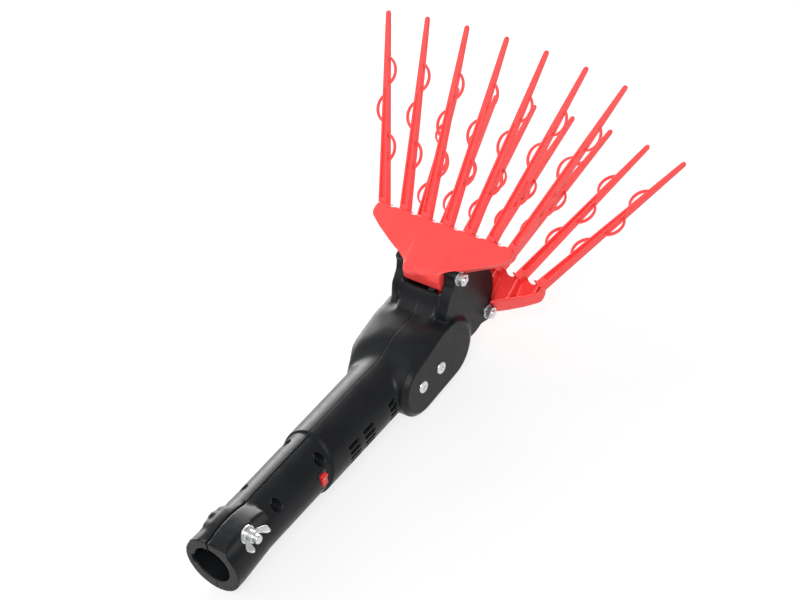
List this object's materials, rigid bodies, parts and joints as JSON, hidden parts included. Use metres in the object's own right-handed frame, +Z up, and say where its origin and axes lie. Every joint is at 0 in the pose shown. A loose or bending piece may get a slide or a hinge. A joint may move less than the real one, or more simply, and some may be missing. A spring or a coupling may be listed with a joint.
{
  "type": "electric olive harvester",
  "caption": "Pole-mounted electric olive harvester head with a clam-shell handle, motor and gear drive, and two fanned combs that swing open and shut.",
  "frame": {"origin": "centre of the pole socket's mouth", "axes": "+X along the body towards the combs, +Y left, +Z up"},
  "size_m": [0.542, 0.2452, 0.2365],
  "materials": {
    "housing_black": "satin moulded",
    "comb_red": "satin moulded",
    "steel": "zinc plated",
    "switch_black": "moulded",
    "switch_red": "gloss",
    "brass": "plain",
    "motor_steel": "plain",
    "motor_iron": "plain",
    "gear_steel": "sintered",
    "gear_plastic": "moulded",
    "rod_aluminium": "die cast"
  },
  "bodies": {
    "body": {"right_housing": "housing_black", "left_housing": "housing_black", "handle_screws": "steel", "clamp_bolt": "steel", "clamp_washer": "steel", "switch_body": "switch_black", "switch_terminals": "brass", "motor_can": "motor_steel", "motor_magnets": "motor_iron", "motor_end_cap": "switch_black", "motor_terminals": "brass", "motor_plate": "steel", "motor_screws": "steel", "idler_axle": "steel", "crank_axle": "steel", "axle_screws": "steel", "upper_pivot_sleeve": "steel", "lower_pivot_sleeve": "steel", "pivot_bolts": "steel", "pivot_washers": "steel", "pivot_nuts": "steel"},
    "rotor": {"motor_armature": "motor_iron", "motor_pinion": "gear_steel"},
    "idler": {"face_gear": "gear_plastic", "idler_pinion": "gear_steel"},
    "crank": {"crank_hub": "gear_steel", "crank_gear": "gear_plastic"},
    "rod_up": {"upper_rod": "rod_aluminium"},
    "rod_low": {"lower_rod": "rod_aluminium"},
    "comb_up": {"upper_comb": "comb_red", "upper_lever_pin": "steel"},
    "comb_low": {"lower_comb": "comb_red", "lower_lever_pin": "steel"},
    "rocker": {"switch_rocker": "switch_red"},
    "wing": {"wing_nut": "steel"}
  },
  "joints": [
    {"name": "drive_turn", "type": "hinge", "parent": "body", "child": "crank", "pos_m": [0.269, 0, 0.003], "axis": [0, 1, 0], "range_deg": [-60, 60]},
    {"name": "idler_turn", "type": "hinge", "parent": "body", "child": "idler", "pos_m": [0.243, 0, 0.003], "axis": [0, 1, 0], "range_deg": [-163, 163]},
    {"name": "motor_turn", "type": "hinge", "parent": "body", "child": "rotor", "pos_m": [0.225, 0, 0.003], "axis": [1, 0, 0], "range_deg": [-367, 367]},
    {"name": "upper_rod_turn", "type": "hinge", "parent": "crank", "child": "rod_up", "pos_m": [0.26792, -0.0035, 0.00526], "axis": [0, 1, 0], "range_deg": [-60, 60]},
    {"name": "lower_rod_turn", "type": "hinge", "parent": "crank", "child": "rod_low", "pos_m": [0.26792, 0.0035, 0.00526], "axis": [0, 1, 0], "range_deg": [-60, 60]},
    {"name": "upper_comb_swing", "type": "hinge", "parent": "body", "child": "comb_up", "pos_m": [0.31688, 0, 0.06406], "axis": [0, -1, 0], "range_deg": [-8.4, 8.4]},
    {"name": "lower_comb_swing", "type": "hinge", "parent": "body", "child": "comb_low", "pos_m": [0.34658, 0, 0.00178], "axis": [0, 1, 0], "range_deg": [-8.4, 8.4]},
    {"name": "switch_rock", "type": "hinge", "parent": "body", "child": "rocker", "pos_m": [0.1175, -0.0228, 0.002], "axis": [1, 0, 0], "range_deg": [-20, 0]},
    {"name": "wing_nut_turn", "type": "hinge", "parent": "body", "child": "wing", "pos_m": [0.026, -0.0216, 0.022], "axis": [0, -1, 0], "continuous": true}
  ],
  "couplings": [
    {"joint": "idler_turn", "follows": "drive_turn", "ratio": -2.7143},
    {"joint": "motor_turn", "follows": "drive_turn", "ratio": -6.1071},
    {"joint": "upper_rod_turn", "follows": "drive_turn", "ratio": -1},
    {"joint": "lower_rod_turn", "follows": "drive_turn", "ratio": -1},
    {"joint": "upper_comb_swing", "follows": "drive_turn", "ratio": 0.14},
    {"joint": "lower_comb_swing", "follows": "drive_turn", "ratio": 0.14}
  ]
}
